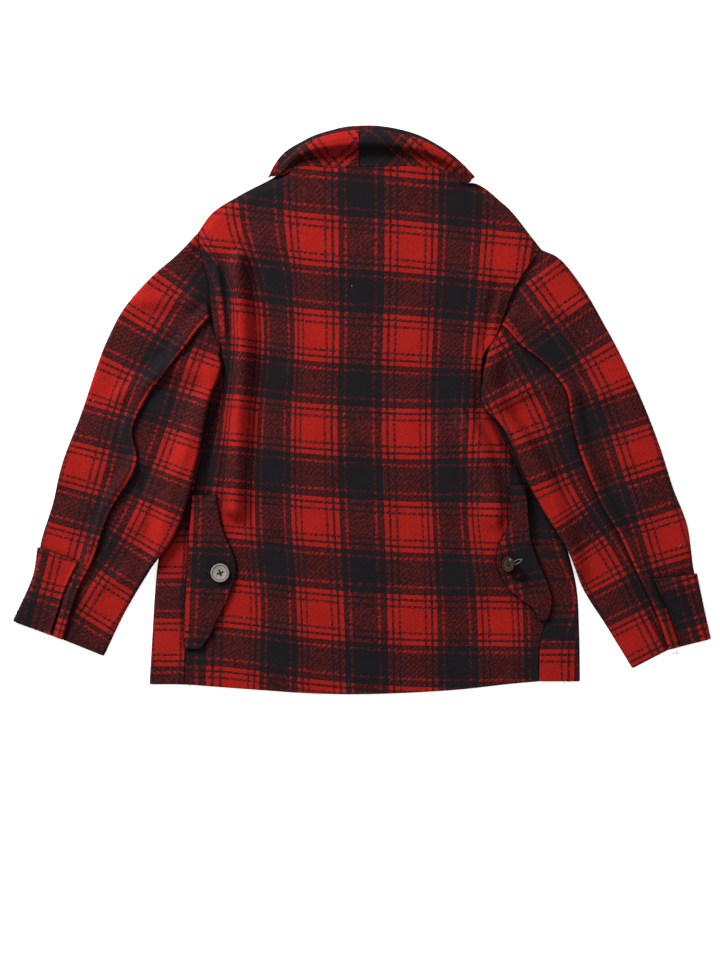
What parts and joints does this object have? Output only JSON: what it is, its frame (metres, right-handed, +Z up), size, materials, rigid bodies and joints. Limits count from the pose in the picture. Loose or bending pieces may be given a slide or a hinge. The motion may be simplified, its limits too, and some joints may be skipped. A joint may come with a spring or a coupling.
{
  "type": "hunting jacket",
  "caption": "Wool hunting jacket in shadow plaid, laid flat with its back up: lapped two-piece sleeves, stand collar, buttoned game-pocket flaps, cuff tabs.",
  "frame": {"origin": "on the surface that the jacket lies on, at the underside of the lapped fronts, under the middle of the back", "axes": "+X to the right of someone looking down at the back, across the jacket from sleeve to sleeve; +Y from hem to collar; +Z up, away from the surface"},
  "size_m": [0.9609, 0.7821, 0.029],
  "materials": {
    "plaid_wool": "thick fulled wool twill in a red and black shadow plaid, napped and matt",
    "grey_button": "polished warm grey four-hole button",
    "brown_button": "polished dark brown four-hole button"
  },
  "bodies": {
    "root": {"back": "plaid_wool", "front_left": "plaid_wool", "front_right": "plaid_wool", "sleeve_left_upper": "plaid_wool", "sleeve_left_under": "plaid_wool", "sleeve_right_upper": "plaid_wool", "sleeve_right_under": "plaid_wool", "collar_under_left": "plaid_wool", "collar_under_right": "plaid_wool", "collar_top": "plaid_wool", "collar_end_left": "plaid_wool", "collar_end_right": "plaid_wool", "pocket_flap_left": "plaid_wool", "pocket_flap_right": "plaid_wool", "cuff_tab_left": "plaid_wool", "cuff_tab_right": "plaid_wool", "button_left": "grey_button", "button_right": "brown_button"}
  },
  "joints": []
}
